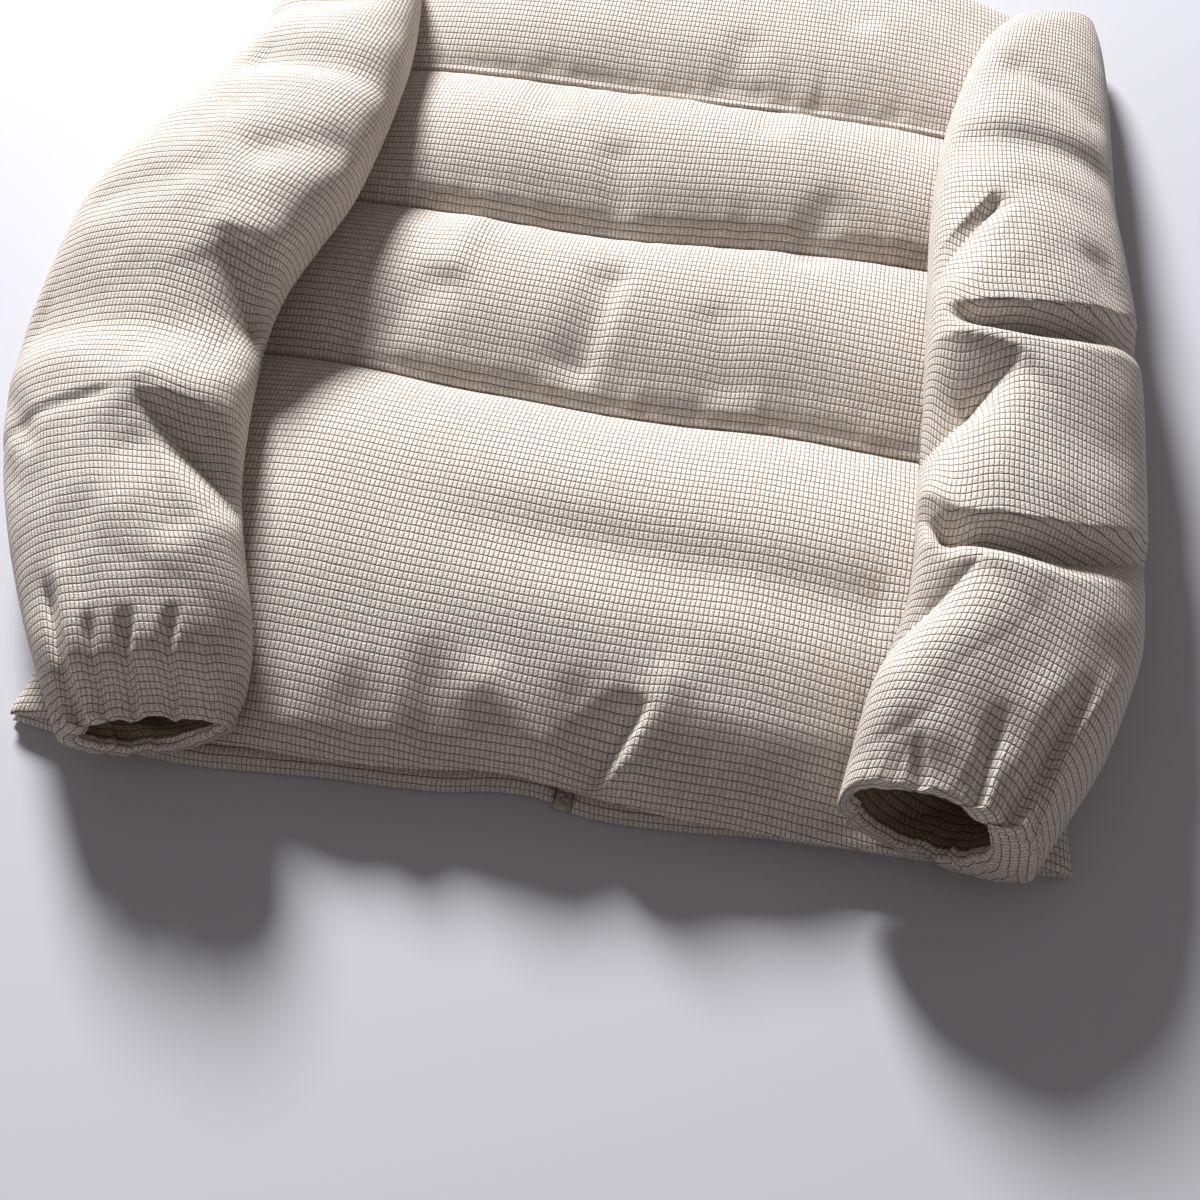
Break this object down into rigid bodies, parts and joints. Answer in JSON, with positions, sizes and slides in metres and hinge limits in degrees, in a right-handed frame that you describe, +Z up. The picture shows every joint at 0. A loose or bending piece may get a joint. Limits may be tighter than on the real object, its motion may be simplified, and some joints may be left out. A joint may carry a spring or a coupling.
{
  "type": "padded jacket",
  "caption": "Padded jacket in waffle corduroy, laid face down with its sleeves folded down its back, gathered cuffs open at the hem.",
  "frame": {"origin": "middle of the whole outline's bottom, on the surface that the jacket lies on", "axes": "+Z up off the resting surface, +Y from the hem to the collar, +X to the wearer's right"},
  "size_m": [0.6691, 0.7667, 0.1183],
  "materials": {
    "waffle_cloth_back": "soft waffle corduroy, matt",
    "waffle_cloth_front": "soft waffle corduroy, matt",
    "waffle_cloth_sleeve": "soft waffle corduroy, matt",
    "waffle_cloth_collar": "soft waffle corduroy, matt",
    "zip_tape": "woven tape with moulded teeth"
  },
  "bodies": {
    "root": {"back_hem_panel": "waffle_cloth_back", "back_mid_panel": "waffle_cloth_back", "back_upper_panel": "waffle_cloth_back", "back_yoke": "waffle_cloth_back", "front_left": "waffle_cloth_front", "front_right": "waffle_cloth_front", "front_zip": "zip_tape", "collar": "waffle_cloth_collar", "sleeve_left_lower": "waffle_cloth_sleeve", "sleeve_left_upper": "waffle_cloth_sleeve", "sleeve_right_lower": "waffle_cloth_sleeve", "sleeve_right_upper": "waffle_cloth_sleeve"}
  },
  "joints": []
}
